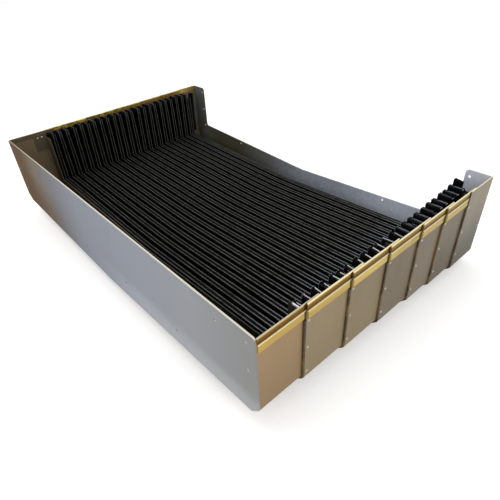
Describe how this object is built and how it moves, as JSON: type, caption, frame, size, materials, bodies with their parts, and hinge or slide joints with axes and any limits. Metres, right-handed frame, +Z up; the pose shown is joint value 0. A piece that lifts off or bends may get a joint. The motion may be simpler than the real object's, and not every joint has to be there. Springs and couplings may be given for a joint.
{
  "type": "telescopic way cover",
  "caption": "Box-shaped telescopic way cover of nested steel sections with brass guide strips, wipers and a pleated inner bellows, shown underside up.",
  "frame": {"origin": "centre of the bounding box in plan, at the height of the largest section's ridge", "axes": "+X across the cover, +Y from the near plate to the far plate along the travel, +Z up with the roof at the bottom"},
  "size_m": [1.0432, 0.645, 0.2215],
  "materials": {
    "section_sheet": "cold-rolled sheet with a warm taupe bloom",
    "near_plate_steel": "pale grey spangled zinc sheet",
    "zinc_sheet": "blue-grey spangled zinc sheet",
    "guide_brass": "plain brass strip, slightly dulled",
    "wiper_rubber": "dark brown wiper lip",
    "rivet_steel": "plain rivet steel",
    "bellows_fabric": "black coated cloth with a satin sheen"
  },
  "bodies": {
    "base": {"near_plate": "near_plate_steel", "near_plate_rivets": "rivet_steel", "section_1": "section_sheet", "outer_strip_1": "guide_brass", "near_bellows_frame": "zinc_sheet", "near_frame_rivets": "rivet_steel", "bellows": "bellows_fabric"},
    "cover_2": {"section_2": "section_sheet", "outer_strip_2": "guide_brass", "inner_strip_2": "guide_brass", "wiper_2": "wiper_rubber", "wiper_rivets_2": "rivet_steel", "rear_frame_2": "zinc_sheet"},
    "cover_3": {"section_3": "section_sheet", "outer_strip_3": "guide_brass", "inner_strip_3": "guide_brass", "wiper_3": "wiper_rubber", "wiper_rivets_3": "rivet_steel", "rear_frame_3": "zinc_sheet"},
    "cover_4": {"section_4": "section_sheet", "outer_strip_4": "guide_brass", "inner_strip_4": "guide_brass", "wiper_4": "wiper_rubber", "wiper_rivets_4": "rivet_steel", "rear_frame_4": "zinc_sheet"},
    "cover_5": {"section_5": "section_sheet", "outer_strip_5": "guide_brass", "inner_strip_5": "guide_brass", "wiper_5": "wiper_rubber", "wiper_rivets_5": "rivet_steel", "rear_frame_5": "zinc_sheet"},
    "cover_6": {"section_6": "section_sheet", "outer_strip_6": "guide_brass", "inner_strip_6": "guide_brass", "wiper_6": "wiper_rubber", "wiper_rivets_6": "rivet_steel", "rear_frame_6": "zinc_sheet"},
    "cover_7": {"section_7": "section_sheet", "inner_strip_7": "guide_brass", "wiper_7": "wiper_rubber", "wiper_rivets_7": "rivet_steel", "far_bellows_frame": "zinc_sheet", "far_plate": "zinc_sheet", "far_plate_rivets": "rivet_steel"}
  },
  "joints": [
    {"name": "travel", "type": "slide", "parent": "base", "child": "cover_7", "axis": [0, 1, 0], "range_m": [-0.35, 0], "deforming": ["bellows"]},
    {"name": "slide_2", "type": "slide", "parent": "base", "child": "cover_2", "axis": [0, 1, 0], "range_m": [-0.0841, 0]},
    {"name": "slide_3", "type": "slide", "parent": "base", "child": "cover_3", "axis": [0, 1, 0], "range_m": [-0.1602, 0]},
    {"name": "slide_4", "type": "slide", "parent": "base", "child": "cover_4", "axis": [0, 1, 0], "range_m": [-0.2211, 0]},
    {"name": "slide_5", "type": "slide", "parent": "base", "child": "cover_5", "axis": [0, 1, 0], "range_m": [-0.2819, 0]},
    {"name": "slide_6", "type": "slide", "parent": "base", "child": "cover_6", "axis": [0, 1, 0], "range_m": [-0.3428, 0]}
  ],
  "couplings": [
    {"joint": "slide_2", "follows": "travel", "ratio": 0.23913},
    {"joint": "slide_3", "follows": "travel", "ratio": 0.45652},
    {"joint": "slide_4", "follows": "travel", "ratio": 0.63043},
    {"joint": "slide_5", "follows": "travel", "ratio": 0.80435},
    {"joint": "slide_6", "follows": "travel", "ratio": 0.97826}
  ]
}
